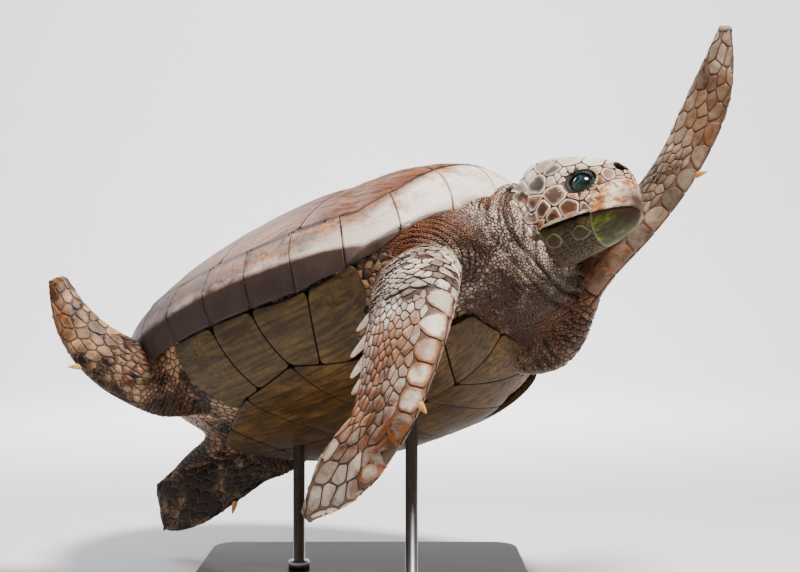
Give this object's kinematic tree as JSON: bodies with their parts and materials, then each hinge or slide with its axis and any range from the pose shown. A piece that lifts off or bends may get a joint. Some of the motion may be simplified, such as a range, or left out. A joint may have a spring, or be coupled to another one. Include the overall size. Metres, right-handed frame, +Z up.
{
  "type": "sea turtle model",
  "caption": "Life-size still model of a young green sea turtle in mid-stroke, banked to show its belly, held on a plain base by rods.",
  "frame": {"origin": "middle of the underside of the stand's base", "axes": "+Z up from the base; the turtle's snout points to +X and a little to -Y and up"},
  "size_m": [0.67, 0.5683, 0.5529],
  "materials": {
    "carapace": "satin",
    "rim": "satin",
    "plastron": "satin",
    "skin": "matt",
    "head_skin": "satin",
    "beak_upper": "satin",
    "beak_lower": "satin",
    "eye": "gloss",
    "claw": "satin",
    "stand": "matt",
    "rod": "brushed"
  },
  "bodies": {
    "root": {"vertebral_1": "carapace", "vertebral_2": "carapace", "vertebral_3": "carapace", "vertebral_4": "carapace", "vertebral_5": "carapace", "costal_left_1": "carapace", "costal_left_2": "carapace", "costal_left_3": "carapace", "costal_left_4": "carapace", "costal_right_1": "carapace", "costal_right_2": "carapace", "costal_right_3": "carapace", "costal_right_4": "carapace", "nuchal": "rim", "marginals_left": "rim", "marginals_right": "rim", "gular_left": "plastron", "humeral_left": "plastron", "pectoral_left": "plastron", "abdominal_left": "plastron", "femoral_left": "plastron", "anal_left": "plastron", "bridge_left": "plastron", "gular_right": "plastron", "humeral_right": "plastron", "pectoral_right": "plastron", "abdominal_right": "plastron", "femoral_right": "plastron", "anal_right": "plastron", "bridge_right": "plastron", "trunk": "skin", "head": "head_skin", "lower_jaw": "skin", "beak_upper": "beak_upper", "beak_lower": "beak_lower", "eye_left": "eye", "arm_left": "skin", "flipper_left": "skin", "thigh_left": "skin", "hind_flipper_left": "skin", "claw_front_left": "claw", "claw_hind_left": "claw", "eye_right": "eye", "arm_right": "skin", "flipper_right": "skin", "thigh_right": "skin", "hind_flipper_right": "skin", "claw_front_right": "claw", "claw_hind_right": "claw", "neck": "skin", "tail": "skin", "stand_base": "stand", "stand_rod_front": "rod", "stand_rod_rear": "rod"}
  },
  "joints": []
}
